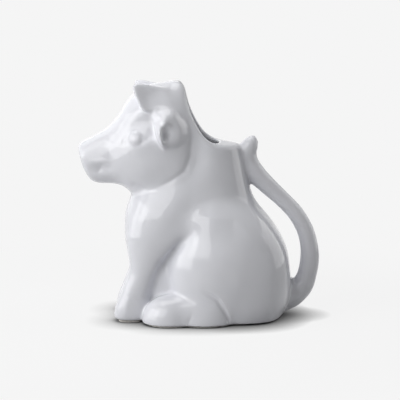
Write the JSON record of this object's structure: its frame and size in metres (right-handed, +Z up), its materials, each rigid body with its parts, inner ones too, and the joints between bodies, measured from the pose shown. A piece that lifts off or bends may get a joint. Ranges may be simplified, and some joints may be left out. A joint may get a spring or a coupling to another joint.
{
  "type": "cow creamer",
  "caption": "White glazed porcelain cream jug in the shape of a sitting cow, filled through an oblique mouth behind the horns, poured at the muzzle and held by its curled tail.",
  "frame": {"origin": "centre of the bounding box, at the height of the surface that the piece stands on", "axes": "+X towards the tail handle, -X towards the muzzle, -Y the cow's left side, which the picture shows, +Z up"},
  "size_m": [0.117, 0.0598, 0.115],
  "materials": {
    "glaze": "gloss",
    "biscuit": "matte"
  },
  "bodies": {
    "root": {"body": "glaze", "head": "glaze", "left_horn": "glaze", "right_horn": "glaze", "left_ear": "glaze", "right_ear": "glaze", "left_foreleg": "glaze", "right_foreleg": "glaze", "left_haunch": "glaze", "right_haunch": "glaze", "left_hind_foot": "glaze", "right_hind_foot": "glaze", "tail_handle": "glaze", "foot_rim": "biscuit"}
  },
  "joints": []
}
